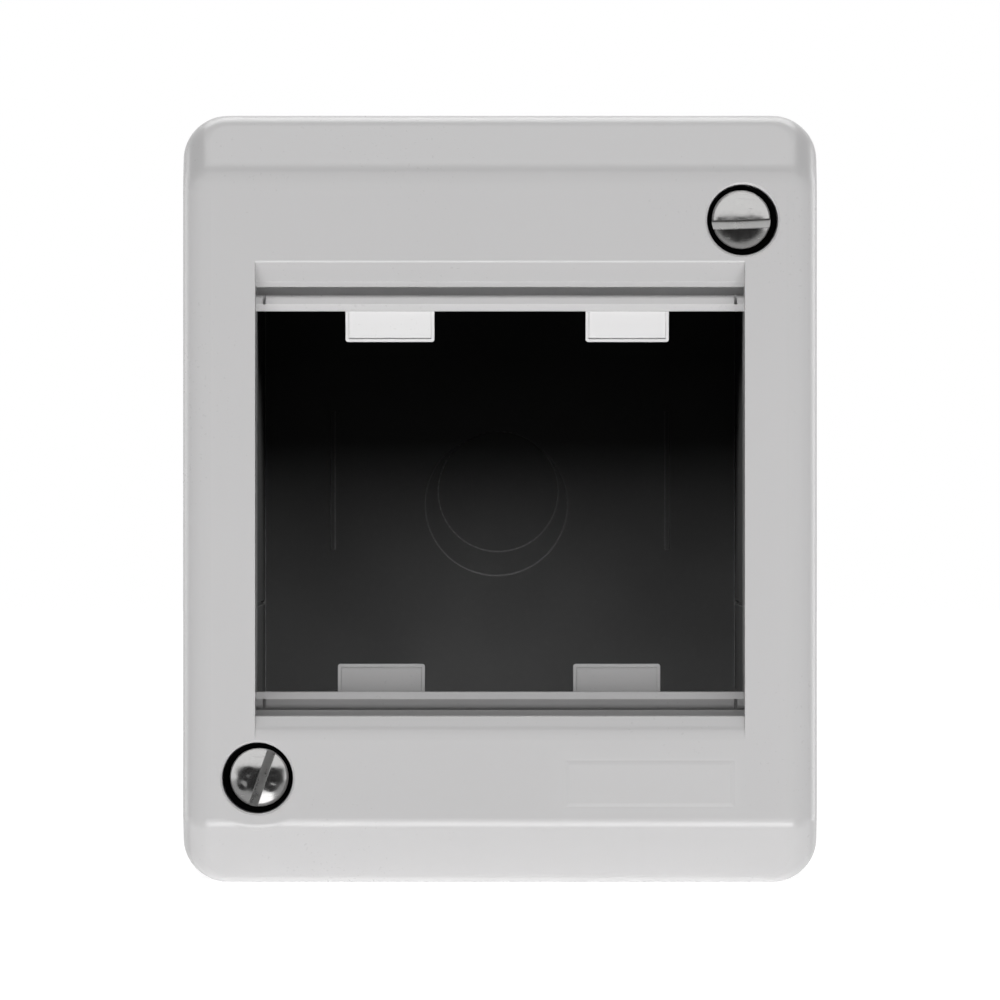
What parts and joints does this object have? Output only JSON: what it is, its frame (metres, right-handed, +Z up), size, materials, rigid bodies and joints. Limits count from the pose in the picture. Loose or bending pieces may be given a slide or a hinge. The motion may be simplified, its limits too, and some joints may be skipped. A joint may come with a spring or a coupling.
{
  "type": "surface mount box",
  "caption": "Wall surface mount box for two wiring modules, with a moulded cover frame, snap-in rails and a deep back box.",
  "frame": {"origin": "centre of the back face, on the plane that bears on the wall", "axes": "+Y into the wall, the front toward -Y, +Z up, +X to the right seen from the front"},
  "size_m": [0.0662, 0.0551, 0.0802],
  "materials": {
    "grey_plastic": "fine satin moulded light grey",
    "black_plastic": "glossy moulded near black",
    "screw_metal": "bright nickel plated steel",
    "seal_rubber": "dull black rubber"
  },
  "bodies": {
    "root": {"cover_frame": "grey_plastic", "back_box": "black_plastic", "cover_screw_upper_right": "screw_metal", "cover_screw_lower_left": "screw_metal", "screw_seal_upper_right": "seal_rubber", "screw_seal_lower_left": "seal_rubber"}
  },
  "joints": []
}
